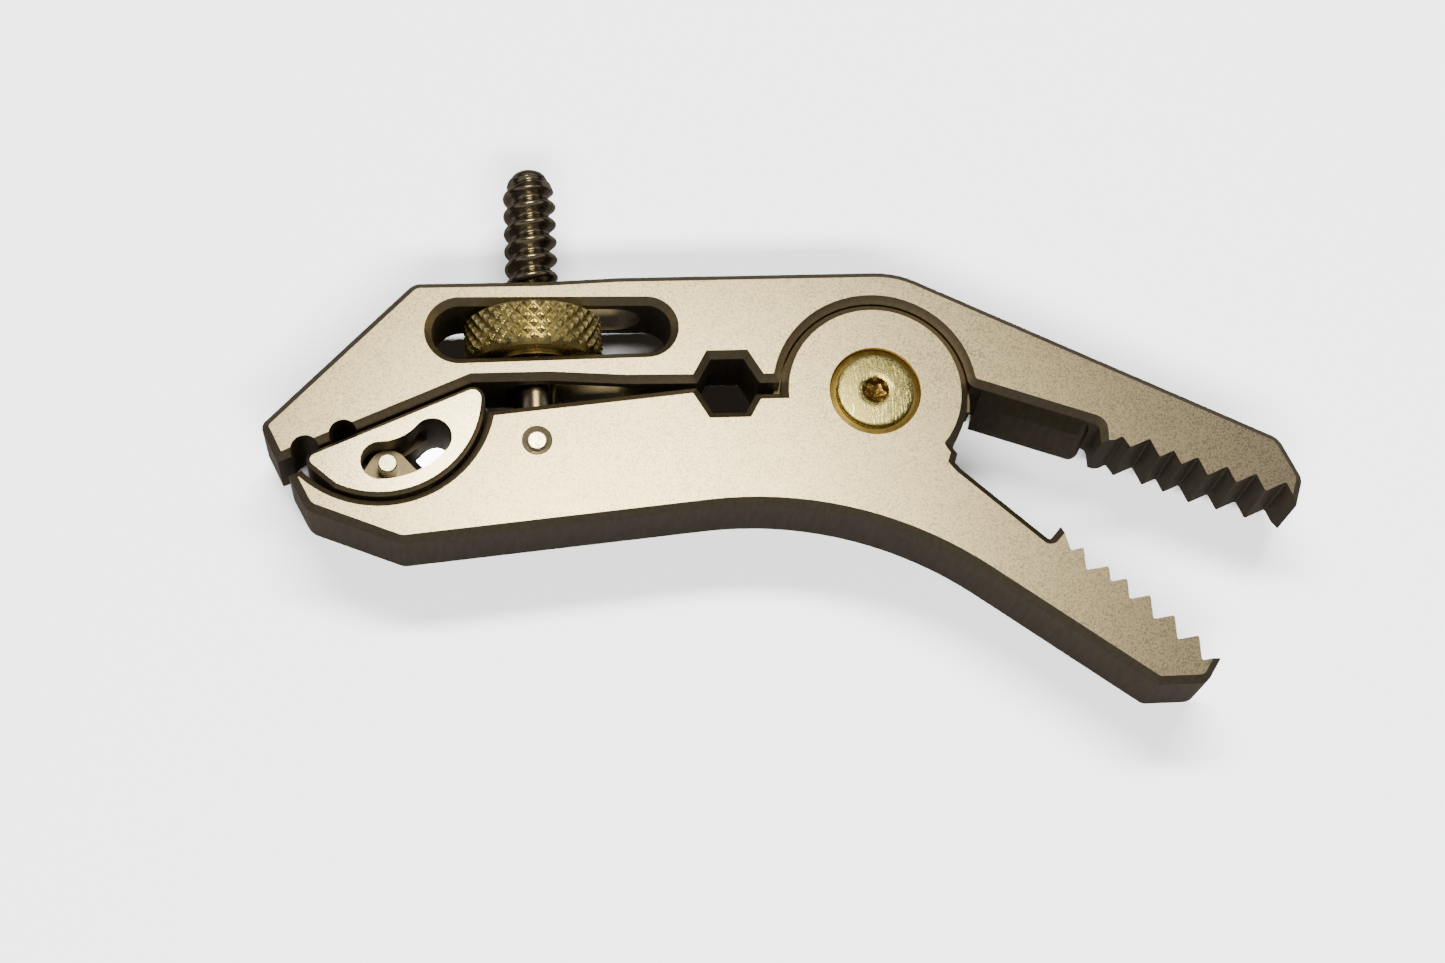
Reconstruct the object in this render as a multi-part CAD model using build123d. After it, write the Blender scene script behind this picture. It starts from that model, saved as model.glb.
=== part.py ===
from build123d import *
import math
import os

# Pocket pipe wrench of two pivoted plate levers, in millimetres.
# Origin: on the pivot axis, at the middle of the plates' thickness.
# +X runs towards the toothed jaws, +Y towards the upper lever, +Z along the pivot axis.

# ---------------------------------------------------------------- driving dimensions
PLATE = 9.5  # thickness of both levers
CHAMFER = 0.75  # on the edges of both faces of the levers

# Pivot joint: the upper lever's middle tongue between the lower lever's two cheeks.
BOSS_R = 9.85
BOSS_GAP = 0.2
TONGUE = 3.0
TONGUE_R = 9.4
NECK_R = 10.45
NECK_FOOT_Y = -1.5
TONGUE_SLOT = 3.5
TONGUE_SLOT_R = 10.9
PIVOT_WASHER_R = 6.8
PIVOT_WASHER_THICKNESS = 0.2
WASHER_GAP = 0.025

# Pivot screw, collar and barrel.
AXLE_R = 3.2
AXLE_CLEARANCE = 0.04
FLANGE_R = 4.78
FLANGE_THICKNESS = 1.5
FLANGE_SINK = 0.4
FLANGE_GAP = 0.06
BARREL_END_Z = 2.8
SCREW_HEAD_R = 4.0
SCREW_HEAD_HEIGHT = 1.5
SCREW_HEAD_TOP = 5.15
SCREW_SHANK_R = 2.0
SCREW_END_Z = -2.5
THREAD_GAP = 0.03
SOCKET_ACROSS_FLATS = 2.5
SOCKET_DEPTH = 1.1

# Bit opening between the levers, half in each.
HEX_CENTRE = (-15.38, 1.17)
HEX_ACROSS_FLATS = 6.0

# Window and slots for the nut and the stud. The window tapers towards the pivot.
WINDOW_LEFT = (-43.29, 7.77)
WINDOW_LEFT_R = 2.96
WINDOW_RIGHT = (-23.73, 7.73)
WINDOW_RIGHT_R = 2.67
STUD_SLOT_LEFT = -38.8
STUD_SLOT_RIGHT = -24.1
STUD_SLOT_WIDTH = 6.0

# Stud, its pin, the nut and the nut's washer.
STUD_X = -35.55
STUD_PIN_Y = -4.6
STUD_SWING = 22.0  # degrees towards the pivot
CREST_R = 2.85
SHANK_R = 2.3
STUD_TOP_Y = 27.8
STUD_DOME = 1.5
THREAD_START_Y = 3.6
EYE_SLOT_WIDTH = 4.8
EYE_GAP = 0.2
PIN_R = 1.0
PIN_HOLE_R = 1.02
PIN_CHAMFER = 0.12
STUD_PIN_RING_R = 1.6
STUD_PIN_RING_DEPTH = 0.3
NUT_R = 7.4
NUT_BOTTOM_Y = 5.36
NUT_TOP_Y = 10.15
NUT_CHAMFER = 0.5
NUT_BORE_R = 2.93
NUT_WASHER_R = 4.5
NUT_WASHER_THICKNESS = 0.2
NUT_WASHER_BOTTOM_Y = 5.14

# Rocker jaw and its pocket, both round the same centre.
ROCKER_CENTRE = (-51.65, 0.67)
ROCKER_R = 10.85
ROCKER_CHAMFER = 0.4
ROCKER_FLAT_ANGLE = 22.4
ROCKER_FLAT_DROP = 2.74
ROCKER_TIP_X = -60.14
ROCKER_TIP_R = 1.0
ROCKER_TAIL_ANGLE = -41.6
ROCKER_CORNER_R = 1.3
POCKET_R = 11.24
KIDNEY_R = 7.04
KIDNEY_WIDTH = 4.08
KIDNEY_START = 269.5
KIDNEY_END = 319.0
ROCKER_PIN_ANGLE = 275.3
ROCKER_PIN_END_Z = 3.75
WEB = 3.1
WEB_TOP_R = 2.1
WEB_SPREAD = 54.0  # how far from the pin's centre line the tab's sides leave its round top
WEB_SIDE = 7.5
WEB_ROOT = 1.0  # how far the tab runs into the pocket wall
GROOVE = 3.5
GROOVE_R = 4.55
GROOVE_START = 246.0
GROOVE_END = 330.0

# Teeth: flanks as (length, direction in degrees); the rows list (long, short) flank lengths.
UPPER_TEETH_START = (24.1, -6.08)
UPPER_FIRST_FLANKS = ((0.85, 2.0), (0.92, 24.0), (1.44, -59.0))
UPPER_FLANK_ANGLES = (22.5, -67.5)
UPPER_TEETH = ((2.33, 2.2), (1.72, 1.68), (1.97, 2.19), (2.39, 1.95), (2.4, 2.1), (2.47, 2.1))
LOWER_TEETH_START = (18.63, -15.66)
LOWER_FIRST_FLANKS = ((2.47, -76.5), (1.43, 13.5))
LOWER_FLANK_ANGLES = (-88.7, 9.0)
LOWER_TEETH = ((2.48, 2.42), (1.67, 1.77), (2.2, 2.25), (2.57, 2.27), (2.6, 2.3), (2.64, 2.17))
TOOTH_R = 0.2
BEYOND = 8.0  # how far a cutter reaches past the metal

# Flared throat of the upper pipe jaw: how far the wall stands out at each depth.
FLARE_PROFILE = ((-2.0, 4.0), (0.0, 4.0), (0.88, 1.6), (1.68, -4.0), (0.93, -4.75), (-2.0, -4.75))
FLARE_START_X = 11.5
FLARE_END_X = 22.9
FLARE_ROUND = 1.1
RECESS_SLOPE = -19.5
RECESS_POINT = (14.0, -0.78)
RECESS_END_X = 23.6

THROAT_CORNER_R = 1.1
NOTCH_R = 1.5
NOTCH_CENTRES = ((-59.4, -4.95), (-55.45, -3.35))

# Lower lever: the bend of its back edge and the shelf between bit opening and boss.
LOWER_BEND = (-2.3, -10.75)
LOWER_BEND_R = 41.2
SHELF_Y = 0.15

HALF = PLATE / 2
STUD_PIN = (STUD_X, STUD_PIN_Y)
FAR = 40.0  # longer than anything that is cut


# ---------------------------------------------------------------- helpers
def direction(angle):
    return math.cos(math.radians(angle)), math.sin(math.radians(angle))


def around(centre, radius, angle):
    x, y = direction(angle)
    return centre[0] + radius * x, centre[1] + radius * y


def polygon(corners):
    """A face from (x, y, corner radius) points."""
    face = make_face(Polyline(*[(x, y) for x, y, _ in corners], close=True))
    for x, y, radius in corners:
        if radius:
            corner = face.vertices().sort_by_distance((x, y))[0]
            face = fillet(corner, radius)
    return face


def through(face, height=FAR):
    return extrude(face, height / 2, both=True)


def chamfered_plate(face):
    plate = extrude(face, HALF, both=True)
    ordered = plate.faces().sort_by(Axis.Z)
    return chamfer(ordered[0].edges() + ordered[-1].edges(), CHAMFER)


def disc(centre, radius):
    return Pos(*centre) * Circle(radius)


def upright(x, y, radius, height):
    """A cylinder along Y that starts at height y."""
    cylinder = Cylinder(radius, height, align=(Align.CENTER, Align.CENTER, Align.MIN))
    return Pos(x, y, 0) * Rot(-90, 0, 0) * cylinder


def tooth_cutter(start, first_flanks, teeth, angles, away):
    """The space beyond a row of teeth, closed far outside towards the away angle."""
    flanks = list(first_flanks)
    for lengths in teeth:
        flanks += list(zip(lengths, angles))
    points = [around(start, -BEYOND, flanks[0][1]), start]
    for length, angle in flanks:
        points.append(around(points[-1], length, angle))
    row = points[2:-1]
    points[-1] = around(points[-1], BEYOND, angles[1])
    points.append(around(points[-1], BEYOND, away))
    points.append(around(points[0], BEYOND, away))
    return through(polygon([(*point, TOOTH_R if point in row else 0) for point in points]))


def wedge(centre, start_angle, end_angle, radius=FAR):
    """A pie slice, narrower than half a turn."""
    middle = (start_angle + end_angle) / 2
    points = [centre]
    points += [around(centre, radius, angle) for angle in (start_angle, middle, end_angle)]
    return make_face(Polyline(*points, close=True))


def slab(face, low, high):
    return Pos(0, 0, low) * extrude(face, high - low)


def ring(outer, inner, low, high):
    return slab(Circle(outer) - Circle(inner), low, high)


def pin(centre, half_length):
    rod = Pos(*centre) * Cylinder(PIN_R, 2 * half_length)
    return chamfer(rod.edges().filter_by(GeomType.CIRCLE), PIN_CHAMFER)


# ---------------------------------------------------------------- levers
def window_outline():
    left = disc(WINDOW_LEFT, WINDOW_LEFT_R)
    right = disc(WINDOW_RIGHT, WINDOW_RIGHT_R)
    lean = (WINDOW_LEFT_R - WINDOW_RIGHT_R) / (WINDOW_RIGHT[0] - WINDOW_LEFT[0])
    tangent = 90 - math.degrees(math.asin(lean))
    middle = make_face(
        Polyline(
            around(WINDOW_LEFT, WINDOW_LEFT_R, tangent),
            around(WINDOW_RIGHT, WINDOW_RIGHT_R, tangent),
            around(WINDOW_RIGHT, WINDOW_RIGHT_R, -tangent),
            around(WINDOW_LEFT, WINDOW_LEFT_R, -tangent),
            close=True,
        )
    )
    return left + middle + right


def hex_outline():
    return Pos(*HEX_CENTRE) * RegularPolygon(HEX_ACROSS_FLATS / 2, 6, major_radius=False)


def recess_height(x):
    """The Y of the throat recess's straight wall at a given X."""
    return RECESS_POINT[1] + (x - RECESS_POINT[0]) * math.tan(math.radians(RECESS_SLOPE))


def upper_outline():
    body = polygon(
        [
            (-64.0, -2.1, 1.0),
            (-48.0, 13.35, 1.8),
            (-34.5, 13.3, 20),
            (-26.5, 13.6, 20),
            (3.1, 13.6, 10),
            (42.6, -6.1, 2.2),
            (44.65, -10.7, 1.6),
            (42.4, -17.5, 0),
            (RECESS_END_X, -10.5, 0),
            (RECESS_END_X, recess_height(RECESS_END_X), 0.9),
            (5.0, recess_height(5.0), 0),
            (5.0, 6.0, 0),
            (-8.0, 6.0, 0),
            (-8.0, 1.4, 0),
            (-19.4, 1.55, 0),
            (-26.0, 1.65, 14),
            (-34.0, 2.2, 14),
            (-42.1, 2.2, 0),
            (-62.2, -6.1, 0),
        ]
    )
    body -= Circle(BOSS_R + BOSS_GAP)
    body -= hex_outline()
    throat_corner = body.vertices().sort_by_distance((BOSS_R, 0.6))[0]
    body = fillet(throat_corner, THROAT_CORNER_R)
    return body - window_outline()


def throat_flare():
    """The sloping wall of the pipe jaw's throat, from near the pivot to the teeth."""
    along = direction(RECESS_SLOPE)
    plane = Plane(
        origin=(FLARE_END_X, recess_height(FLARE_END_X), 0),
        x_dir=(along[1], -along[0], 0),
        z_dir=(-along[0], -along[1], 0),
    )
    profile = make_face(Polyline(*FLARE_PROFILE, close=True))
    length = (FLARE_END_X - FLARE_START_X) / along[0]
    flare = extrude(plane * profile, length)
    foot = flare.faces().sort_by(Axis.Y)[0]
    ends = flare.faces().filter_by(Plane(plane.origin, z_dir=plane.z_dir))
    corners = [edge for edge in foot.edges() if any(edge in end.edges() for end in ends)]
    return fillet(corners, FLARE_ROUND)


def pivot_hole():
    return through(Circle(AXLE_R + AXLE_CLEARANCE))


def upper_lever():
    lever = chamfered_plate(upper_outline())
    lever += throat_flare()
    lever -= extrude(Circle(BOSS_R + BOSS_GAP), HALF, both=True)
    neck = Circle(NECK_R) & (Pos(0, NECK_FOOT_Y + FAR / 2) * Rectangle(FAR, FAR))
    lever += extrude(Circle(TONGUE_R) + neck, TONGUE / 2, both=True)
    lever -= pivot_hole()
    for centre in NOTCH_CENTRES:
        lever -= through(disc(centre, NOTCH_R))
    lever -= tooth_cutter(UPPER_TEETH_START, UPPER_FIRST_FLANKS, UPPER_TEETH, UPPER_FLANK_ANGLES, -90)
    slot_centre = (STUD_SLOT_LEFT + STUD_SLOT_RIGHT) / 2
    slot_length = STUD_SLOT_RIGHT - STUD_SLOT_LEFT
    slot = Plane.XZ * Pos(slot_centre, 0) * SlotOverall(slot_length, STUD_SLOT_WIDTH)
    return lever - extrude(slot, FAR, both=True)


def lower_outline():
    body = polygon(
        [
            (-61.1, -7.6, 0),
            (-59.3, -11.35, 2.0),
            (-49.7, -15.25, 2.0),
            (LOWER_BEND[0], LOWER_BEND[1], LOWER_BEND_R),
            (27.1, -32.45, 1.5),
            (32.3, -32.4, 1.5),
            (33.95, -29.85, 0),
            (36.95, -26.85, 0),
            (21.7, -11.7, 0),
            (17.25, -16.65, 0.3),
            (8.45, -8.55, 0),
            (7.95, -7.9, 0),
            (8.3, -6.95, 0),
            (7.75, -6.1, 0),
            (7.0, -4.0, 0),
            (-8.0, SHELF_Y, 0),
            (HEX_CENTRE[0], SHELF_Y, 0),
            (HEX_CENTRE[0], 1.32, 0),
            (-39.9, -1.02, 0),
            (-55.0, -5.0, 0),
        ]
    )
    body += Circle(BOSS_R)
    body -= hex_outline()
    body -= disc(ROCKER_CENTRE, POCKET_R)
    return body


def stud_eye_slot():
    """Room for the stud's eye and for its swing towards the pivot."""
    reach = SHANK_R + EYE_GAP
    swung = 90 - STUD_SWING
    corners = [
        around(STUD_PIN, reach, 180),
        around(around(STUD_PIN, reach, 180), FAR / 2, 90),
        around(around(STUD_PIN, reach, swung - 90), FAR / 2, swung),
        around(STUD_PIN, reach, swung - 90),
    ]
    swing = make_face(Polyline(*corners, close=True))
    return extrude(swing + disc(STUD_PIN, reach), EYE_SLOT_WIDTH / 2, both=True)


def rocker_web():
    """The tab in the pocket that holds the rocker's pin; it widens down to the pocket wall."""
    pin_at = rocker_pin_centre()
    inward = ROCKER_PIN_ANGLE + 180
    left = around(pin_at, WEB_TOP_R, inward - WEB_SPREAD)
    right = around(pin_at, WEB_TOP_R, inward + WEB_SPREAD)
    right_foot = around(right, WEB_SIDE, inward + WEB_SPREAD + 90)
    left_foot = around(left, WEB_SIDE, inward - WEB_SPREAD - 90)
    tab = make_face(Polyline(left, right, right_foot, left_foot, close=True)) + disc(pin_at, WEB_TOP_R)
    return extrude(tab & disc(ROCKER_CENTRE, POCKET_R + WEB_ROOT), WEB / 2, both=True)


def rocker_pin_centre():
    return around(ROCKER_CENTRE, KIDNEY_R, ROCKER_PIN_ANGLE)


def countersinks(centre):
    """Shallow cones round a pin hole, one in each face."""
    cone = Cone(PIN_HOLE_R, STUD_PIN_RING_R, STUD_PIN_RING_DEPTH)
    middle = HALF - STUD_PIN_RING_DEPTH / 2
    return Pos(*centre, middle) * cone + Pos(*centre, -middle) * Rot(180, 0, 0) * cone


def lower_lever():
    lever = chamfered_plate(lower_outline())
    lever -= tooth_cutter(LOWER_TEETH_START, LOWER_FIRST_FLANKS, LOWER_TEETH, LOWER_FLANK_ANGLES, 45)
    lever += rocker_web()
    lever -= through(disc(rocker_pin_centre(), PIN_HOLE_R))
    lever -= extrude(Circle(TONGUE_SLOT_R), TONGUE_SLOT / 2, both=True)
    lever -= pivot_hole()
    seat = Circle(FLANGE_R + FLANGE_GAP)
    seat_floor = HALF - FLANGE_SINK - FLANGE_THICKNESS
    lever -= slab(seat, seat_floor, FAR) + slab(seat, -FAR, -seat_floor)
    lever -= stud_eye_slot()
    lever -= through(disc(STUD_PIN, PIN_HOLE_R))
    return lever - countersinks(STUD_PIN)


# ---------------------------------------------------------------- rocker jaw
def rocker_outline():
    flat = math.tan(math.radians(ROCKER_FLAT_ANGLE))
    foot = around(ROCKER_CENTRE, ROCKER_FLAT_DROP, ROCKER_FLAT_ANGLE - 90)
    tip = (ROCKER_TIP_X, foot[1] + (ROCKER_TIP_X - foot[0]) * flat)
    far_right = (foot[0] + FAR, foot[1] + FAR * flat)
    below = polygon(
        [
            (*tip, ROCKER_TIP_R),
            (*around(tip, FAR, ROCKER_TAIL_ANGLE), 0),
            (*far_right, 0),
        ]
    )
    body = below & disc(ROCKER_CENTRE, ROCKER_R)
    corner = body.vertices().sort_by(Axis.X)[-1]
    return fillet(corner, ROCKER_CORNER_R)


def kidney_slot():
    outer = KIDNEY_R + KIDNEY_WIDTH / 2
    inner = KIDNEY_R - KIDNEY_WIDTH / 2
    sector = wedge(ROCKER_CENTRE, KIDNEY_START, KIDNEY_END)
    slot = (disc(ROCKER_CENTRE, outer) - disc(ROCKER_CENTRE, inner)) & sector
    for angle in (KIDNEY_START, KIDNEY_END):
        slot += disc(around(ROCKER_CENTRE, KIDNEY_R, angle), KIDNEY_WIDTH / 2)
    return slot


def rocker_jaw():
    jaw = extrude(rocker_outline(), HALF, both=True)
    ordered = jaw.faces().sort_by(Axis.Z)
    jaw = chamfer(ordered[0].edges() + ordered[-1].edges(), ROCKER_CHAMFER)
    jaw -= through(kidney_slot())
    groove = wedge(ROCKER_CENTRE, GROOVE_START, GROOVE_END) - disc(ROCKER_CENTRE, GROOVE_R)
    return jaw - extrude(groove, GROOVE / 2, both=True)


# ---------------------------------------------------------------- stud and nut
def adjusting_stud():
    stud = Pos(*STUD_PIN, 0) * Sphere(SHANK_R)
    stud += upright(STUD_X, STUD_PIN_Y, SHANK_R, THREAD_START_Y - STUD_PIN_Y)
    thread = upright(STUD_X, THREAD_START_Y, CREST_R, STUD_TOP_Y - THREAD_START_Y)
    ends = thread.edges().filter_by(GeomType.CIRCLE).sort_by(Axis.Y)
    thread = chamfer(ends[0], CREST_R - SHANK_R)
    thread = fillet(thread.edges().filter_by(GeomType.CIRCLE).sort_by(Axis.Y)[-1], STUD_DOME)
    return stud + thread - through(disc(STUD_PIN, PIN_HOLE_R))


def thumb_nut():
    nut = upright(STUD_X, NUT_BOTTOM_Y, NUT_R, NUT_TOP_Y - NUT_BOTTOM_Y)
    nut = chamfer(nut.edges().filter_by(GeomType.CIRCLE), NUT_CHAMFER)
    return nut - upright(STUD_X, 0, NUT_BORE_R, FAR)


def nut_washer():
    washer = upright(STUD_X, NUT_WASHER_BOTTOM_Y, NUT_WASHER_R, NUT_WASHER_THICKNESS)
    return washer - upright(STUD_X, 0, NUT_BORE_R, FAR)


# ---------------------------------------------------------------- pivot
def pivot_barrel():
    """Sleeve with a flange in the back face; its bore is blind."""
    flange_bottom = FLANGE_SINK - HALF
    barrel = slab(Circle(FLANGE_R), flange_bottom, flange_bottom + FLANGE_THICKNESS)
    barrel = chamfer(barrel.faces().sort_by(Axis.Z)[0].edges(), PIN_CHAMFER)
    barrel += slab(Circle(AXLE_R), flange_bottom + FLANGE_THICKNESS, BARREL_END_Z)
    return barrel - slab(Circle(SCREW_SHANK_R + THREAD_GAP), SCREW_END_Z - PIN_CHAMFER, FAR)


def pivot_screw():
    head = slab(Circle(SCREW_HEAD_R), SCREW_HEAD_TOP - SCREW_HEAD_HEIGHT, SCREW_HEAD_TOP)
    head = chamfer(head.faces().sort_by(Axis.Z)[-1].edges(), PIN_CHAMFER)
    screw = head + slab(Circle(SCREW_SHANK_R), SCREW_END_Z, SCREW_HEAD_TOP - SCREW_HEAD_HEIGHT)
    socket = RegularPolygon(SOCKET_ACROSS_FLATS / 2, 6, major_radius=False)
    return screw - slab(socket, SCREW_HEAD_TOP - SOCKET_DEPTH, FAR)


def pivot_collar():
    """Cup ring in the front face; the screw's head sits in it."""
    top = HALF - FLANGE_SINK
    head_seat = SCREW_HEAD_TOP - SCREW_HEAD_HEIGHT
    collar = slab(Circle(FLANGE_R), top - FLANGE_THICKNESS, top)
    collar = chamfer(collar.faces().sort_by(Axis.Z)[-1].edges(), PIN_CHAMFER)
    collar -= through(Circle(SCREW_SHANK_R + THREAD_GAP))
    return collar - slab(Circle(SCREW_HEAD_R + AXLE_CLEARANCE), head_seat, FAR)


def pivot_washer(side):
    low = TONGUE / 2 + WASHER_GAP
    washer = ring(PIVOT_WASHER_R, AXLE_R + AXLE_CLEARANCE, low, low + PIVOT_WASHER_THICKNESS)
    return washer if side > 0 else mirror(washer, about=Plane.XY)


# ---------------------------------------------------------------- export
def sub_parts():
    return {
        "lower_lever": lower_lever(),
        "upper_lever": upper_lever(),
        "rocker_jaw": rocker_jaw(),
        "rocker_pin": pin(rocker_pin_centre(), ROCKER_PIN_END_Z),
        "adjusting_stud": adjusting_stud(),
        "stud_pin": pin(STUD_PIN, HALF),
        "thumb_nut": thumb_nut(),
        "nut_washer": nut_washer(),
        "pivot_barrel": pivot_barrel(),
        "pivot_screw": pivot_screw(),
        "pivot_collar": pivot_collar(),
        "pivot_washer_front": pivot_washer(1),
        "pivot_washer_back": pivot_washer(-1),
    }


def main():
    os.makedirs("parts", exist_ok=True)
    for name, solid in sub_parts().items():
        solid.label = name
        export_step(solid, f"parts/{name}.step")


if __name__ == "__main__":
    main()
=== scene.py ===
import math

import bpy
from mathutils import Matrix, Vector


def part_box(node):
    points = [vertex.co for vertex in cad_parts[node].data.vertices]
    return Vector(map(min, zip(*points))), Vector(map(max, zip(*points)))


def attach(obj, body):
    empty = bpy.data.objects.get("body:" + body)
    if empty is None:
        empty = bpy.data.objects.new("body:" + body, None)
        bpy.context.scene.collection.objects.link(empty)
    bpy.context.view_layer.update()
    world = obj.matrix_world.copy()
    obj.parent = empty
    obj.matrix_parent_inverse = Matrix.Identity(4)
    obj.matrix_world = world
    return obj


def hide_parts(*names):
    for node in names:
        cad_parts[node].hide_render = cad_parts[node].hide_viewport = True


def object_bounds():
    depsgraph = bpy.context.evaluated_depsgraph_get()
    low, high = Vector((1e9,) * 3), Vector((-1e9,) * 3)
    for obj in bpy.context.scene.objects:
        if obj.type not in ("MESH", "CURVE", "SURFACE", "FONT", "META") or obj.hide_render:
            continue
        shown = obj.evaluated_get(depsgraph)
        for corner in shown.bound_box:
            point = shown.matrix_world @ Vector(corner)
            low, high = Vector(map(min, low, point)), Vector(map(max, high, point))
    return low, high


# Everything is in metres, in the frame's own axes: Z is the pivot axis, out of the seen face.
MM = 0.001

# ---------------------------------------------------------------- driving values
ROUND_STEPS = 96  # straight sides in a turned piece's circles

# The camera's angles are in degrees, and its lens and sensor in millimetres.
CAMERA_AZIMUTH = -14.42
CAMERA_ELEVATION = 71.24
CAMERA_ROLL = 12.26
CAMERA_LENS = 72.29
CAMERA_SENSOR = 36.0
CAMERA_DISTANCE = 0.3
CAMERA_TARGET = (-16.56 * MM, -9.6 * MM, 4.75 * MM)

NUT_BORE_SHARE = 0.396  # of the nut's radius
NUT_LOWER_RIM = 0.62 * MM  # plain chamfer at the lower end
NUT_LOWER_SLOPE = 0.9
NUT_LOWER_DROP = 0.55  # of the knurl's depth, at the chamfer's inner edge
NUT_UPPER_RIM = 0.3 * MM
NUT_UPPER_SLOPE = 1.4
NUT_UPPER_DROP = 0.2
KNURL_COUNT = 32  # diamonds round the nut
KNURL_DEPTH = 0.34 * MM
KNURL_HEIGHT = 1.5 * MM  # of one diamond, along the nut's axis
KNURL_STEPS = 4  # grid steps per half diamond
KNURL_ROUNDNESS = 1.2  # 1 gives sharp pyramids
KNURL_GROOVE = 0.25  # flat share of the width, at the bottom of each groove

THREAD_PITCH = 2.05 * MM
THREAD_DEPTH = 0.8 * MM
THREAD_START = 3.6 * MM  # where the plain shank ends
THREAD_FADE = 0.9 * THREAD_PITCH  # length over which the thread runs in and out
THREAD_ROWS = 28  # rows of the mesh per pitch
SHANK_RADIUS = 2.3 * MM
SHANK_ROW = 0.5 * MM
DOME_HEIGHT = 1.15 * MM
DOME_RADIUS = 1.95 * MM
DOME_ROWS = 12  # rows of the mesh
EYE_STEPS = 24  # rows of the mesh in the rounded eye, if it were a whole ball

SCREW_HEAD_HEIGHT = 1.5 * MM
SCREW_SHANK_RADIUS = 2.0 * MM
SCREW_TIP_CHAMFER = 0.25 * MM
SCREW_DOME = 0.12 * MM
SCREW_EDGE = 0.16 * MM  # rounding of the head's edge
SCREW_CROWN_RINGS = 8  # rings of the mesh across the domed top
SOCKET_RADIUS = 1.4 * MM
SOCKET_BRIM = 0.12 * MM  # rounding of the socket's edge
SOCKET_DEPTH = 1.6 * MM
SOCKET_LOBE = 0.12  # share of the radius by which the socket's six lobes swing in and out
SCREW_CLEARANCE = 0.03 * MM
COLLAR_OPENING_RADIUS = 4.04 * MM
COLLAR_CUP_DEPTH = 0.7 * MM
COLLAR_SLOPE = 0.26 * MM

TITANIUM_FACE = (0.74, 0.69, 0.61)
ROCKER_FACE = (0.98, 0.94, 0.88)
# Wall colour: partly the walls' and chamfers' own finish, partly painted shade; in recesses it is painted
# shade.
WALL_AND_PAINTED_SHADE = (0.27, 0.245, 0.215)
PIN_LIGHT, PIN_DARK = (0.90, 0.90, 0.88), (0.80, 0.80, 0.78)
STUD_LIGHT, STUD_DARK = (0.29, 0.265, 0.225), (0.25, 0.225, 0.19)
GOLD_LIGHT, GOLD_DARK = (0.80, 0.62, 0.23), (0.66, 0.50, 0.16)
BRONZE_LIGHT, BRONZE_DARK = (0.50, 0.40, 0.24), (0.36, 0.28, 0.16)
# The groove colour is painted shade in the knurl's hollows.
NUT_PEAK, NUT_GROOVE_SHADE = (0.97, 0.91, 0.55), (0.56, 0.48, 0.21)
SCREW_LIGHT, SCREW_DARK = (0.78, 0.77, 0.47), (0.26, 0.25, 0.11)
# Painted shade in the screw's socket.
SOCKET_SHADE_GOLD = (0.34, 0.24, 0.09)
WALL_ROUGHNESS = 0.5
GRAIN_SIZE = 0.18 * MM  # of the blasted surface
PIT_SIZE = 0.4 * MM
BLOTCH_SIZE = 2.4 * MM
CLOUD_SIZE = 18 * MM
STREAK_SIZE = 0.5 * MM
STREAK_STRETCH = 0.12  # share of the scale left along the walls' height
SCRATCH_LEANS = (0.4, -0.9, 2.1, 1.3)  # directions of the screw's scratches, in radians
SCRATCH_WIDTH = 0.2 * MM
SCRATCH_STRETCH = 0.09

FLOOR_PALE = (0.86, 0.86, 0.86)
FLOOR_WARM = (0.050, 0.043, 0.036)
FLOOR_RADIUS = 0.9
FLOOR_WALL = 0.8  # height of the wall that the floor curves up into
FLOOR_RINGS = 24
FLOOR_GAP = 0.02 * MM  # below the lowest point of the wrench
FLOOR_LIGHT_DISTANCE = 0.8
FLOOR_LIGHT_FRONT_ELEVATION = 54.0  # degrees
FLOOR_LIGHT_BACK_ELEVATION = 63.0
FLOOR_LIGHT_SIZE = (0.6, 0.11)
FLOOR_LIGHT_POWER = 19.5
OPENING_LIGHT_TARGET = (-48.0 * MM, -5.9 * MM, 4.75 * MM)
OPENING_LIGHT_ANGLE = 1.7  # degrees across
OPENING_LIGHT_POWER = 55.0

KEY_PLACE = (-23 * MM, 27 * MM, 168 * MM)
KEY_TARGET = (-23 * MM, 27 * MM, 0.0)
KEY_SIZE = (60 * MM, 60 * MM)
KEY_POWER = 0.26
KEY_COLOUR = (1.0, 0.83, 0.45)
SKY_BELOW = (0.27, 0.235, 0.195)
SKY_FRONT = (0.065, 0.068, 0.078)
SKY_BACK = (0.35, 0.29, 0.23)
SKY_HIGH = (0.48, 0.44, 0.36)
SKY_ABOVE = (0.09, 0.085, 0.085)


# ---------------------------------------------------------------- mesh helpers
def mesh_object(name, vertices, faces):
    mesh = bpy.data.meshes.new(name)
    mesh.from_pydata(vertices, [], faces)
    mesh.validate()
    mesh.update()
    piece = bpy.data.objects.new(name, mesh)
    bpy.context.scene.collection.objects.link(piece)
    return piece


def smooth_by_angle(piece, degrees):
    piece.data.shade_smooth()
    piece.data.set_sharp_from_angle(angle=math.radians(degrees))


def upright_ring(centre_x, height, radius, steps):
    """Points of a circle round the stud's axis, which runs along Y."""
    points = []
    for i in range(steps):
        a = 2 * math.pi * i / steps
        points.append((centre_x + radius * math.sin(a), height, radius * math.cos(a)))
    return points


# ---------------------------------------------------------------- knurled nut
def diamond(s, t):
    """Height of the knurl, 0 in the grooves and 1 on the peaks; s and t count diamonds round and along."""
    u = (s + t) % 1.0
    v = (s - t) % 1.0
    from_peak = 2.0 * max(abs(u - 0.5), abs(v - 0.5)) / (1.0 - KNURL_GROOVE)
    return 1.0 - min(1.0, from_peak) ** KNURL_ROUNDNESS


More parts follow.
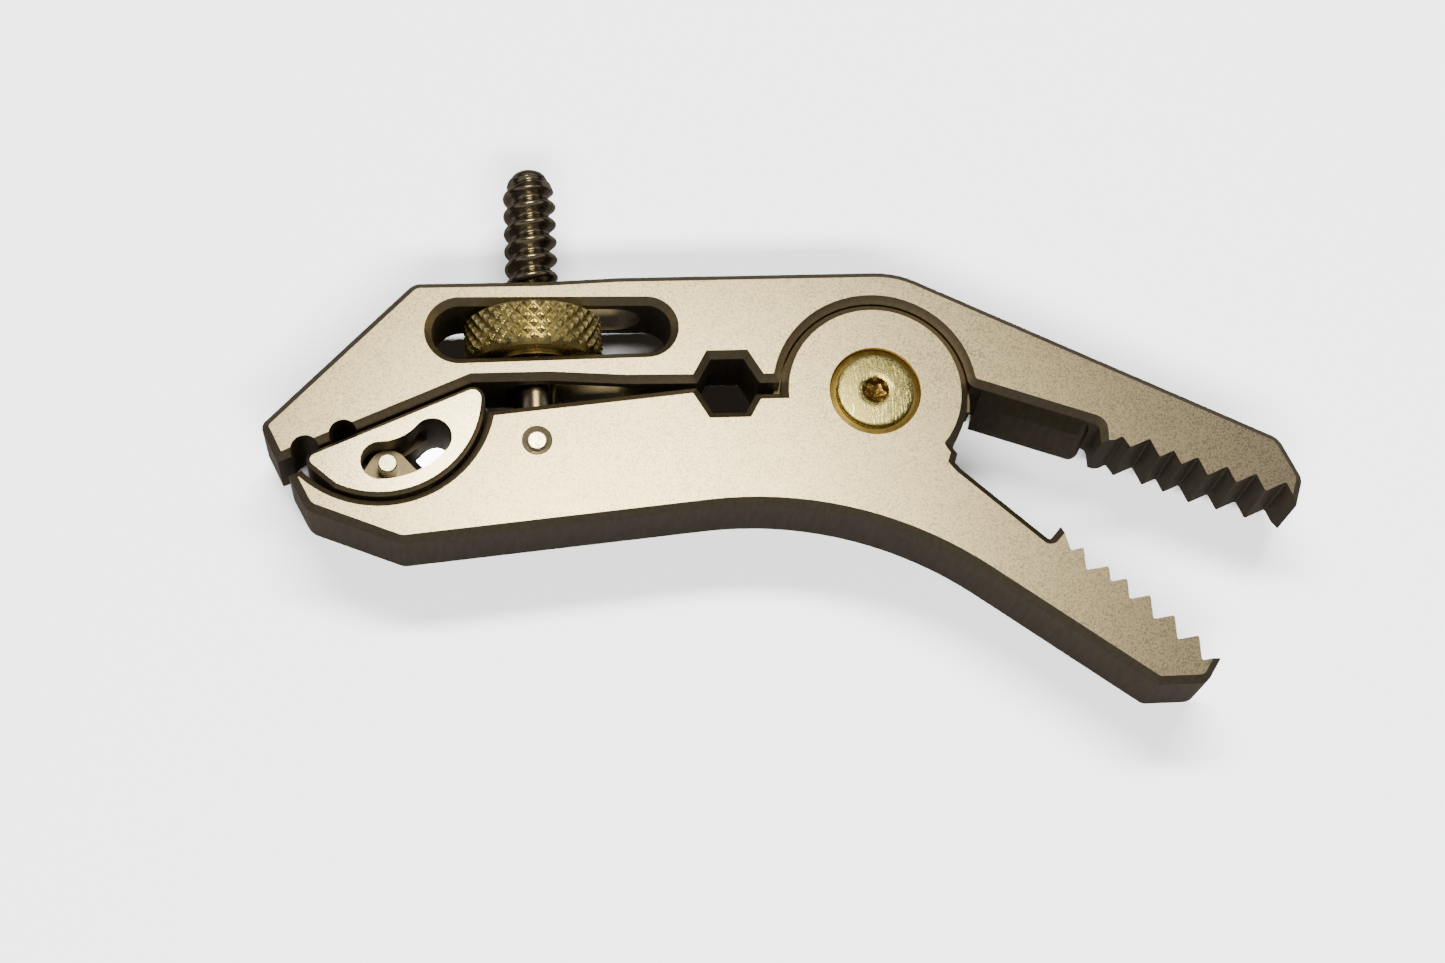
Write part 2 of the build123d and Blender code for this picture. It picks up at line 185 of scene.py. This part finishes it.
def make_nut():
    low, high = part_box("thumb_nut")
    axis_x = (low.x + high.x) / 2
    radius = (high.x - low.x) / 2
    bore = radius * NUT_BORE_SHARE
    columns = KNURL_COUNT * 2 * KNURL_STEPS
    step = KNURL_HEIGHT / (2 * KNURL_STEPS)
    rows = round((high.y - low.y) / step)
    heights = [low.y + (high.y - low.y) * j / rows for j in range(rows + 1)]

    def skin(i, y):
        """Radius of the nut's outer surface at column i and height y."""
        s = i / (2 * KNURL_STEPS)
        knurled = radius - KNURL_DEPTH * (1.0 - diamond(s, (y - low.y) / KNURL_HEIGHT))
        lower = radius - KNURL_DEPTH * NUT_LOWER_DROP - (low.y + NUT_LOWER_RIM - y) * NUT_LOWER_SLOPE
        upper = radius - KNURL_DEPTH * NUT_UPPER_DROP - (y - (high.y - NUT_UPPER_RIM)) * NUT_UPPER_SLOPE
        limit = radius
        if y < low.y + NUT_LOWER_RIM:
            limit = lower
        if y > high.y - NUT_UPPER_RIM:
            limit = min(limit, upper)
        if y > low.y + NUT_LOWER_RIM * 0.75:
            return min(knurled, limit)
        return min(limit, knurled + KNURL_DEPTH)

    vertices, faces = [], []
    for y in heights:
        for i in range(columns):
            a = 2 * math.pi * i / columns
            r = skin(i, y)
            vertices.append((axis_x + r * math.sin(a), y, r * math.cos(a)))
    for j in range(rows):
        for i in range(columns):
            n = (i + 1) % columns
            a, b = j * columns + i, j * columns + n
            c, d = (j + 1) * columns + n, (j + 1) * columns + i
            middle = diamond((i + 0.5) / (2 * KNURL_STEPS), (heights[j] + step / 2 - low.y) / KNURL_HEIGHT)
            rising = diamond(i / (2 * KNURL_STEPS), (heights[j] - low.y) / KNURL_HEIGHT)
            falling = diamond((i + 1) / (2 * KNURL_STEPS), (heights[j] - low.y) / KNURL_HEIGHT)
            if abs(rising - middle) < abs(falling - middle):
                faces += [(a, b, c), (a, c, d)]
            else:
                faces += [(a, b, d), (b, c, d)]
    # The ends and the bore close the ring.
    top, bottom = rows * columns, 0
    inner_low = len(vertices)
    vertices += upright_ring(axis_x, low.y, bore, columns)
    inner_high = len(vertices)
    vertices += upright_ring(axis_x, high.y, bore, columns)
    for i in range(columns):
        n = (i + 1) % columns
        faces.append((bottom + n, bottom + i, inner_low + i, inner_low + n))
        faces.append((top + i, top + n, inner_high + n, inner_high + i))
        faces.append((inner_low + n, inner_low + i, inner_high + i, inner_high + n))
    nut = mesh_object("knurled_nut", vertices, faces)
    smooth_by_angle(nut, 20)
    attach(nut, "nut")
    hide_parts("thumb_nut")
    return nut


# ---------------------------------------------------------------- threaded stud
def crest_shape(s):
    """Share of the thread's depth at s, from 0 to 1 over one pitch: a round crest and a round root."""
    return (0.5 - 0.5 * math.cos(2 * math.pi * s)) ** 0.8


def make_stud():
    low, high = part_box("adjusting_stud")
    axis_x = (low.x + high.x) / 2
    crest = (high.x - low.x) / 2
    root = crest - THREAD_DEPTH
    columns = ROUND_STEPS
    step = THREAD_PITCH / THREAD_ROWS

    def profile(i, y):
        """Radius of the stud at height y and column i."""
        turn = i / columns
        s = ((y - THREAD_START) / THREAD_PITCH - turn) % 1.0
        threaded = root + (crest - root) * crest_shape(s)
        run_in = min(1.0, max(0.0, (y - THREAD_START) / THREAD_FADE))
        r = SHANK_RADIUS + (threaded - SHANK_RADIUS) * run_in
        below_top = high.y - y
        if below_top < DOME_HEIGHT:
            cap = DOME_RADIUS * math.sqrt(max(0.0, 1 - ((DOME_HEIGHT - below_top) / DOME_HEIGHT) ** 2))
            return min(r, cap)
        lead = min(1.0, (below_top - DOME_HEIGHT) / THREAD_FADE)
        return min(r, DOME_RADIUS + (crest - DOME_RADIUS) * (0.25 + 0.75 * lead))

    pin_y = low.y + SHANK_RADIUS
    heights = [pin_y - SHANK_RADIUS * math.cos(math.pi * k / EYE_STEPS) for k in range(1, EYE_STEPS // 2)]
    y = pin_y
    while y < THREAD_START:
        heights.append(y)
        y += SHANK_ROW
    y = THREAD_START
    while y < high.y - DOME_HEIGHT:
        heights.append(y)
        y += step
    for k in range(DOME_ROWS):
        heights.append(high.y - DOME_HEIGHT * (1 - math.sin(math.pi / 2 * k / DOME_ROWS)))
    vertices, faces = [], []
    for y in heights:
        for i in range(columns):
            a = 2 * math.pi * i / columns
            if y < pin_y:
                r = math.sqrt(max(0.0, SHANK_RADIUS**2 - (pin_y - y) ** 2))
            elif y < THREAD_START:
                r = SHANK_RADIUS
            else:
                r = profile(i, y)
            vertices.append((axis_x + r * math.sin(a), y, r * math.cos(a)))
    for j in range(len(heights) - 1):
        for i in range(columns):
            n = (i + 1) % columns
            faces.append((j * columns + i, j * columns + n, (j + 1) * columns + n, (j + 1) * columns + i))
    bottom = len(vertices)
    vertices.append((axis_x, low.y, 0.0))
    top = len(vertices)
    vertices.append((axis_x, high.y, 0.0))
    last = (len(heights) - 1) * columns
    for i in range(columns):
        n = (i + 1) % columns
        faces.append((bottom, n, i))
        faces.append((top, last + i, last + n))
    stud = mesh_object("threaded_stud", vertices, faces)
    smooth_by_angle(stud, 50)
    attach(stud, "stud")
    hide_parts("adjusting_stud")
    return stud


# ---------------------------------------------------------------- pivot screw
def make_screw():
    """Slightly domed head with a deep six-lobed socket, and the plain shank below it."""
    low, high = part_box("pivot_screw")
    head = (high.x - low.x) / 2
    under = high.z - SCREW_HEAD_HEIGHT
    crown = head - SCREW_EDGE
    brim = SOCKET_RADIUS + SOCKET_BRIM
    columns = ROUND_STEPS
    rings = [
        ("round", 0.0, low.z),
        ("round", SCREW_SHANK_RADIUS - SCREW_TIP_CHAMFER, low.z),
        ("round", SCREW_SHANK_RADIUS, low.z + SCREW_TIP_CHAMFER),
        ("round", SCREW_SHANK_RADIUS, under),
        ("round", head, under),
        ("round", head, high.z - SCREW_DOME - SCREW_EDGE),
        ("round", head - 0.05 * MM, high.z - SCREW_DOME - 0.05 * MM),
        ("round", crown, high.z - SCREW_DOME),
    ]
    for k in range(1, SCREW_CROWN_RINGS + 1):
        share = 1 - k / (SCREW_CROWN_RINGS + 1)
        r = brim + share * (crown - brim)
        rings.append(("round", r, high.z - SCREW_DOME * (r / head) ** 2))
    rings += [
        ("round", SOCKET_RADIUS, high.z - 0.1 * MM),
        ("socket", SOCKET_RADIUS, high.z - 0.3 * MM),
        ("socket", SOCKET_RADIUS, high.z - SOCKET_DEPTH),
        ("socket", SOCKET_RADIUS * 0.8, high.z - SOCKET_DEPTH - 0.05 * MM),
        ("round", 0.0, high.z - SOCKET_DEPTH - 0.6 * MM),
    ]
    vertices, faces = [], []
    for kind, radius, z in rings:
        for i in range(columns):
            a = 2 * math.pi * i / columns
            r = radius
            if kind == "socket":
                r *= 1 - SOCKET_LOBE + SOCKET_LOBE * math.cos(6 * a)
            vertices.append((r * math.cos(a), r * math.sin(a), z))
    for j in range(len(rings) - 1):
        for i in range(columns):
            n = (i + 1) % columns
            faces.append((j * columns + i, j * columns + n, (j + 1) * columns + n, (j + 1) * columns + i))
    screw = mesh_object("socket_screw", vertices, faces)
    smooth_by_angle(screw, 25)
    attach(screw, "lower_half")
    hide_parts("pivot_screw")
    return screw


# ---------------------------------------------------------------- pivot collar
def make_collar():
    """Cup ring whose top slopes down from the screw's head to its seat."""
    low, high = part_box("pivot_collar")
    outer = (high.x - low.x) / 2
    inner = COLLAR_OPENING_RADIUS
    bore = SCREW_SHANK_RADIUS + SCREW_CLEARANCE
    floor = high.z - COLLAR_CUP_DEPTH
    profile = [
        (bore, low.z),
        (outer, low.z),
        (outer, high.z - COLLAR_SLOPE),
        (inner + 0.1 * MM, high.z),
        (inner, high.z - 0.06 * MM),
        (inner, floor),
        (bore, floor),
    ]
    columns = ROUND_STEPS
    vertices, faces = [], []
    for radius, z in profile:
        for i in range(columns):
            a = 2 * math.pi * i / columns
            vertices.append((radius * math.cos(a), radius * math.sin(a), z))
    for j in range(len(profile)):
        k = (j + 1) % len(profile)
        for i in range(columns):
            n = (i + 1) % columns
            faces.append((j * columns + i, j * columns + n, k * columns + n, k * columns + i))
    collar = mesh_object("sloping_collar", vertices, faces)
    smooth_by_angle(collar, 12)
    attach(collar, "lower_half")
    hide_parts("pivot_collar")
    return collar


# ---------------------------------------------------------------- materials
class Graph:
    """A material's node tree with short ways to add and join nodes."""

    def __init__(self, name):
        self.material = bpy.data.materials.new(name)
        self.material.use_nodes = True
        self.nodes = self.material.node_tree.nodes
        self.links = self.material.node_tree.links
        self.shader = self.nodes["Principled BSDF"]
        self.place = self.nodes.new("ShaderNodeTexCoord").outputs["Object"]

    def add(self, kind, **settings):
        node = self.nodes.new(kind)
        for key, value in settings.items():
            setattr(node, key, value)
        return node

    def join(self, source, target):
        self.links.new(source, target)

    def stretched(self, scale):
        mapping = self.add("ShaderNodeMapping")
        mapping.inputs["Scale"].default_value = scale
        self.join(self.place, mapping.inputs["Vector"])
        return mapping.outputs["Vector"]

    def noise(self, size, detail=2.0, rough=0.5, place=None):
        """Noise whose features are about size metres across."""
        node = self.add("ShaderNodeTexNoise")
        node.inputs["Scale"].default_value = 1.0 / size
        node.inputs["Detail"].default_value = detail
        node.inputs["Roughness"].default_value = rough
        self.join(place or self.place, node.inputs["Vector"])
        return node.outputs["Fac"]

    def span(self, value, low_in, high_in, low_out, high_out):
        node = self.add("ShaderNodeMapRange", interpolation_type="SMOOTHSTEP")
        for key, number in (
            ("From Min", low_in),
            ("From Max", high_in),
            ("To Min", low_out),
            ("To Max", high_out),
        ):
            node.inputs[key].default_value = number
        self.join(value, node.inputs["Value"])
        return node.outputs["Result"]

    def maths(self, operation, a, b=None):
        node = self.add("ShaderNodeMath", operation=operation)
        for socket, value in zip(node.inputs, (a, b)):
            if value is None:
                continue
            if isinstance(value, (int, float)):
                socket.default_value = value
            else:
                self.join(value, socket)
        return node.outputs[0]

    def mix(self, factor, a, b, blend="MIX"):
        node = self.add("ShaderNodeMix", data_type="RGBA", blend_type=blend)
        for socket, value in zip((node.inputs[0], node.inputs[6], node.inputs[7]), (factor, a, b)):
            if isinstance(value, (int, float)):
                socket.default_value = value
            elif isinstance(value, tuple):
                socket.default_value = (*value, 1.0)
            else:
                self.join(value, socket)
        return node.outputs[2]

    def bump(self, height, strength, distance):
        node = self.add("ShaderNodeBump")
        node.inputs["Strength"].default_value = strength
        node.inputs["Distance"].default_value = distance
        self.join(height, node.inputs["Height"])
        return node.outputs["Normal"]

    def flatness(self):
        """1 on the two flat faces, 0 on chamfers and walls."""
        normal = self.add("ShaderNodeNewGeometry").outputs["True Normal"]
        split = self.add("ShaderNodeSeparateXYZ")
        self.join(normal, split.inputs[0])
        return self.span(self.maths("ABSOLUTE", split.outputs["Z"]), 0.85, 0.97, 0.0, 1.0)

    def outer_depth(self):
        """1 at the depth of the levers' outer faces, 0 in recesses; the recesses take the darker wall
        colour as painted shade.
        """
        split = self.add("ShaderNodeSeparateXYZ")
        self.join(self.place, split.inputs[0])
        return self.span(self.maths("ABSOLUTE", split.outputs["Z"]), 4.0 * MM, 4.5 * MM, 0.0, 1.0)

    def finish(self, colour, roughness, normal=None, metallic=1.0):
        shader = self.shader
        shader.inputs["Metallic"].default_value = metallic
        if isinstance(colour, tuple):
            shader.inputs["Base Color"].default_value = (*colour, 1.0)
        else:
            self.join(colour, shader.inputs["Base Color"])
        if isinstance(roughness, (int, float)):
            shader.inputs["Roughness"].default_value = roughness
        else:
            self.join(roughness, shader.inputs["Roughness"])
        if normal is not None:
            self.join(normal, shader.inputs["Normal"])
        return self.material


def blasted_metal(name, face, wall, roughness):
    """Bead-blasted plate: mottled grain on the outer faces; walls and chamfers darker, partly their own
    rougher finish and partly painted shade; recesses darker as painted shade.
    """
    g = Graph(name)
    grain = g.noise(GRAIN_SIZE, 3.0, 0.65)
    blotch = g.noise(BLOTCH_SIZE, 3.0, 0.55)
    cloud = g.noise(CLOUD_SIZE, 2.0)
    pits = g.span(g.noise(PIT_SIZE, 2.0, 0.7), 0.26, 0.32, 1.0, 0.0)
    tone = g.maths("ADD", g.span(grain, 0.36, 0.64, 0.58, 1.22), g.span(blotch, 0.3, 0.7, -0.05, 0.05))
    tone = g.maths("ADD", tone, g.span(cloud, 0.35, 0.65, -0.03, 0.03))
    tone = g.maths("MULTIPLY", tone, g.span(pits, 0.0, 1.0, 1.0, 0.85))
    face_colour = g.mix(1.0, face, g.mix(tone, (0, 0, 0), (1, 1, 1)), "MULTIPLY")
    streaks = g.noise(STREAK_SIZE, 2.0, 0.6, g.stretched((1.0, 1.0, STREAK_STRETCH)))
    # Walls, chamfers and recesses get a darker colour: partly the walls' own finish, partly painted shade.
    wall_and_shade_colour = g.mix(g.span(streaks, 0.3, 0.7, 0.0, 1.0), tuple(c * 0.85 for c in wall), wall)
    outer = g.maths("MULTIPLY", g.flatness(), g.outer_depth())
    colour = g.mix(outer, wall_and_shade_colour, face_colour)
    gloss = g.span(outer, 0.0, 1.0, WALL_ROUGHNESS, roughness)
    gloss = g.maths("ADD", g.span(grain, 0.3, 0.7, -0.012, 0.012), gloss)
    height = g.maths("MULTIPLY", grain, g.span(outer, 0, 1, 0.35, 1.0))
    height = g.maths("ADD", height, g.maths("MULTIPLY", streaks, 0.2))
    return g.finish(colour, gloss, g.bump(height, 0.2, 0.02 * MM))


def turned_metal(name, light, dark, roughness, texture=0.35):
    """Bright metal with faint uneven tone."""
    g = Graph(name)
    tone = g.span(g.noise(1.2 * MM, 4.0, 0.6), 0.3, 0.7, 0.0, 1.0)
    colour = g.mix(tone, dark, light)
    dull = g.noise(0.5 * MM, 3.0, 0.6)
    gloss = g.span(dull, 0.3, 0.7, roughness * (1 - texture), roughness * (1 + texture))
    return g.finish(colour, gloss, g.bump(g.noise(0.25 * MM, 3.0, 0.6), texture, 0.02 * MM))


def knurled_brass(axis_x, radius):
    """Yellow brass, painted darker in the grooves of the knurl as shade."""
    g = Graph("knurled_brass")
    split = g.add("ShaderNodeSeparateXYZ")
    g.join(g.place, split.inputs[0])
    across = g.maths("SUBTRACT", split.outputs["X"], axis_x)
    square = g.maths("MULTIPLY", across, across)
    square = g.maths("ADD", square, g.maths("POWER", split.outputs["Z"], 2.0))
    # Painted shade: the colour darkens towards the bottom of the knurl's grooves.
    groove, peak = radius - 0.9 * KNURL_DEPTH, radius - 0.3 * KNURL_DEPTH
    height = g.span(g.maths("SQRT", square), groove, peak, 0.0, 1.0)
    height = g.maths("ADD", height, g.span(g.noise(0.5 * MM, 3.0, 0.6), 0.3, 0.7, -0.2, 0.2))
    colour = g.mix(g.span(height, 0.0, 1.0, 0.0, 1.0), NUT_GROOVE_SHADE, NUT_PEAK)
    gloss = g.span(g.noise(0.4 * MM, 3.0, 0.6), 0.3, 0.7, 0.22, 0.36)
    return g.finish(colour, gloss, g.bump(g.noise(0.2 * MM, 3.0, 0.6), 0.15, 0.02 * MM))


def scratched_brass():
    """Pale brass with many short scratches; the socket is painted dark brown gold, as shade."""
    g = Graph("scratched_brass")
    scratch = None
    for lean in SCRATCH_LEANS:
        turned = g.add("ShaderNodeMapping")
        turned.inputs["Rotation"].default_value = (0, 0, lean)
        turned.inputs["Scale"].default_value = (1.0, SCRATCH_STRETCH, 1.0)
        g.join(g.place, turned.inputs["Vector"])
        lines = g.span(g.noise(SCRATCH_WIDTH, 2.0, 0.5, turned.outputs["Vector"]), 0.60, 0.68, 0.0, 1.0)
        scratch = lines if scratch is None else g.maths("MAXIMUM", scratch, lines)
    grain = g.noise(0.16 * MM, 3.0, 0.65)
    tone = g.maths("ADD", g.span(grain, 0.38, 0.62, 0.0, 0.45), g.maths("MULTIPLY", scratch, 0.55))
    top = g.mix(tone, SCREW_DARK, SCREW_LIGHT)
    flat = g.add("ShaderNodeVectorMath", operation="MULTIPLY")
    flat.inputs[1].default_value = (1.0, 1.0, 0.0)
    g.join(g.place, flat.inputs[0])
    length = g.add("ShaderNodeVectorMath", operation="LENGTH")
    g.join(flat.outputs[0], length.inputs[0])
    # Painted shade: the socket is coloured dark brown gold.
    socket_shade = g.span(length.outputs["Value"], SOCKET_RADIUS, SOCKET_RADIUS + 0.1 * MM, 1.0, 0.0)
    colour = g.mix(socket_shade, top, SOCKET_SHADE_GOLD)
    gloss = g.maths("ADD", g.span(grain, 0.35, 0.65, 0.26, 0.44), g.maths("MULTIPLY", scratch, -0.08))
    height = g.maths("SUBTRACT", grain, scratch)
    return g.finish(colour, gloss, g.bump(height, 0.5, 0.02 * MM))


def paint(piece, material):
    piece.data.materials.clear()
    piece.data.materials.append(material)


def paint_everything(nut, stud, screw, collar):
    titanium = blasted_metal("blasted_titanium", TITANIUM_FACE, WALL_AND_PAINTED_SHADE, 0.36)
    rocker = blasted_metal("blasted_rocker", ROCKER_FACE, WALL_AND_PAINTED_SHADE, 0.27)
    bright = turned_metal("bright_pin_steel", PIN_LIGHT, PIN_DARK, 0.26)
    dark = turned_metal("dark_stud_steel", STUD_LIGHT, STUD_DARK, 0.21, texture=0.0)
    low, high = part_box("thumb_nut")
    nut_brass = knurled_brass((low.x + high.x) / 2, (high.x - low.x) / 2)
    gold = turned_metal("golden_brass", GOLD_LIGHT, GOLD_DARK, 0.34, texture=0.12)
    pale = scratched_brass()
    bronze = turned_metal("washer_bronze", BRONZE_LIGHT, BRONZE_DARK, 0.35)
    nodes = frame["nodes"]
    finishes = {
        "upper_lever": titanium,
        "lower_lever": titanium,
        "rocker_jaw": rocker,
        "rocker_pin": bright,
        "stud_pin": bright,
        "pivot_barrel": gold,
        "nut_washer": bronze,
        "pivot_washer_front": bronze,
        "pivot_washer_back": bronze,
    }
    for node, material in finishes.items():
        paint(nodes[node], material)
    paint(nut, nut_brass)
    paint(stud, dark)
    paint(screw, pale)
    paint(collar, gold)


# ---------------------------------------------------------------- studio
def plain_material(name, colour):
    return Graph(name).finish(colour, 0.95, metallic=0.0)


def make_floor(name, height):
    """A round floor that curves up into a wall, far outside the view."""
    steps = ROUND_STEPS
    vertices, faces = [(0.0, 0.0, height)], []
    for k in range(1, FLOOR_RINGS + 1):
        share = k / FLOOR_RINGS
        if share <= 0.5:
            r, z = FLOOR_RADIUS * share * 2, 0.0
        else:
            a = (share - 0.5) * math.pi
            r, z = FLOOR_RADIUS + FLOOR_WALL * math.sin(a), FLOOR_WALL * (1 - math.cos(a))
        for i in range(steps):
            b = 2 * math.pi * i / steps
            vertices.append((r * math.cos(b), r * math.sin(b), height + z))
    for i in range(steps):
        faces.append((0, 1 + i, 1 + (i + 1) % steps))
    for k in range(FLOOR_RINGS - 1):
        for i in range(steps):
            n = (i + 1) % steps
            a = 1 + k * steps
            faces.append((a + i, a + steps + i, a + steps + n, a + n))
    floor = mesh_object(name, vertices, faces)
    floor.data.shade_smooth()
    return floor


def make_floors(height):
    """A pale floor that the camera sees, and a dim warm one that the metal reflects."""
    seen = make_floor("studio_floor", height)
    paint(seen, plain_material("pale_floor", FLOOR_PALE))
    seen.visible_glossy = False
    seen.visible_diffuse = False
    seen.visible_shadow = False
    reflected = make_floor("reflected_table", height)
    paint(reflected, plain_material("warm_table", FLOOR_WARM))
    reflected.visible_camera = False
    reflected.visible_shadow = False
    return [seen, reflected]


def area_light(name, place, target, size, power, colour=(1.0, 1.0, 1.0)):
    data = bpy.data.lights.new(name, "AREA")
    data.shape = "RECTANGLE"
    data.size, data.size_y = size
    data.energy = power
    data.color = colour
    lamp = bpy.data.objects.new(name, data)
    lamp.location = place
    lamp.rotation_mode = "QUATERNION"
    lamp.rotation_quaternion = (Vector(target) - Vector(place)).to_track_quat("-Z", "Y")
    lamp.visible_camera = False
    bpy.context.scene.collection.objects.link(lamp)
    return lamp


def make_sky():
    """Dim surroundings: dark in front and overhead, warmer behind and below, brightest halfway up."""
    world = bpy.data.worlds.new("studio_air")
    world.use_nodes = True
    nodes, links = world.node_tree.nodes, world.node_tree.links
    split = nodes.new("ShaderNodeSeparateXYZ")
    links.new(nodes.new("ShaderNodeTexCoord").outputs["Generated"], split.inputs[0])

    def blend(axis, low, high, first, second):
        share = nodes.new("ShaderNodeMapRange")
        share.interpolation_type = "SMOOTHSTEP"
        share.inputs["From Min"].default_value = low
        share.inputs["From Max"].default_value = high
        links.new(split.outputs[axis], share.inputs["Value"])
        mix = nodes.new("ShaderNodeMix")
        mix.data_type = "RGBA"
        links.new(share.outputs["Result"], mix.inputs[0])
        for socket, colour in ((mix.inputs[6], first), (mix.inputs[7], second)):
            if isinstance(colour, tuple):
                socket.default_value = (*colour, 1.0)
            else:
                links.new(colour, socket)
        return mix.outputs[2]

    horizon = blend("Y", -0.7, 0.7, SKY_FRONT, SKY_BACK)
    lower = blend("Z", -0.85, -0.35, SKY_BELOW, horizon)
    high = blend("Z", 0.35, 0.5, lower, SKY_HIGH)
    sky = blend("Z", 0.65, 0.85, high, SKY_ABOVE)
    links.new(sky, nodes["Background"].inputs["Color"])
    bpy.context.scene.world = world


def link_light(lamp, pieces, state):
    """Makes a lamp light only these pieces (INCLUDE), or everything but them (EXCLUDE)."""
    group = bpy.data.collections.new(lamp.name + "_pieces")
    for piece in pieces:
        group.objects.link(piece)
    for member in group.collection_objects:
        member.light_linking.link_state = state
    lamp.light_linking.receiver_collection = group


def make_opening_light(floors):
    """Narrow lamp on the camera's side, for the floor seen through the rocker jaw's opening."""
    data = bpy.data.lights.new("opening_light", "SPOT")
    data.spot_size = math.radians(OPENING_LIGHT_ANGLE)
    data.spot_blend = 0.3
    data.shadow_soft_size = 2 * MM
    data.energy = OPENING_LIGHT_POWER
    lamp = bpy.data.objects.new("opening_light", data)
    back = camera_axes()[2]
    lamp.location = Vector(OPENING_LIGHT_TARGET) + back * CAMERA_DISTANCE
    lamp.rotation_mode = "QUATERNION"
    lamp.rotation_quaternion = (-back).to_track_quat("-Z", "Y")
    lamp.visible_camera = False
    bpy.context.scene.collection.objects.link(lamp)
    link_light(lamp, floors, "INCLUDE")


def make_lights(floors):
    key = area_light("key_softbox", KEY_PLACE, KEY_TARGET, KEY_SIZE, KEY_POWER, KEY_COLOUR)
    link_light(key, floors, "EXCLUDE")
    for name, side, elevation in (
        ("floor_light_front", -1, FLOOR_LIGHT_FRONT_ELEVATION),
        ("floor_light_back", 1, FLOOR_LIGHT_BACK_ELEVATION),
    ):
        rise = math.radians(elevation)
        reach = FLOOR_LIGHT_DISTANCE * math.cos(rise)
        place = (0.0, side * reach, FLOOR_LIGHT_DISTANCE * math.sin(rise))
        lamp = area_light(name, place, (0.0, 0.0, 0.0), FLOOR_LIGHT_SIZE, FLOOR_LIGHT_POWER)
        link_light(lamp, floors, "INCLUDE")
    make_opening_light(floors)
    make_sky()


def camera_axes():
    """The camera's right, up and backward directions."""
    a, e, r = (math.radians(v) for v in (CAMERA_AZIMUTH, CAMERA_ELEVATION, CAMERA_ROLL))
    back = Vector((math.sin(a) * math.cos(e), -math.cos(a) * math.cos(e), math.sin(e)))
    level = Vector((math.cos(a), math.sin(a), 0.0))
    rise = back.cross(level)
    right = level * math.cos(r) + rise * math.sin(r)
    up = rise * math.cos(r) - level * math.sin(r)
    return right, up, back


def make_camera():
    right, up, back = camera_axes()
    data = bpy.data.cameras.new("camera")
    data.lens = CAMERA_LENS
    data.sensor_width = CAMERA_SENSOR
    data.clip_start = 0.01
    camera = bpy.data.objects.new("camera", data)
    turn = Matrix((right, up, back)).transposed().to_4x4()
    camera.matrix_world = Matrix.Translation(Vector(CAMERA_TARGET) + back * CAMERA_DISTANCE) @ turn
    bpy.context.scene.collection.objects.link(camera)
    bpy.context.scene.camera = camera


# ---------------------------------------------------------------- build
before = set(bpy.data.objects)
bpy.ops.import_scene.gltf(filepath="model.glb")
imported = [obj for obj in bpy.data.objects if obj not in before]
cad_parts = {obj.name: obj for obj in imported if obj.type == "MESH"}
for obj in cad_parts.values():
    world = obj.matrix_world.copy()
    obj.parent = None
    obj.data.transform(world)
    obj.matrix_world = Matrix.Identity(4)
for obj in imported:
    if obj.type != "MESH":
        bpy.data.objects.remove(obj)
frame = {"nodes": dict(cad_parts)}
cad_box = [list(corner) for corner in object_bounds()]

nut = make_nut()
stud = make_stud()
screw = make_screw()
collar = make_collar()
paint_everything(nut, stud, screw, collar)
make_lights(make_floors(cad_box[0][2] - FLOOR_GAP))
make_camera()
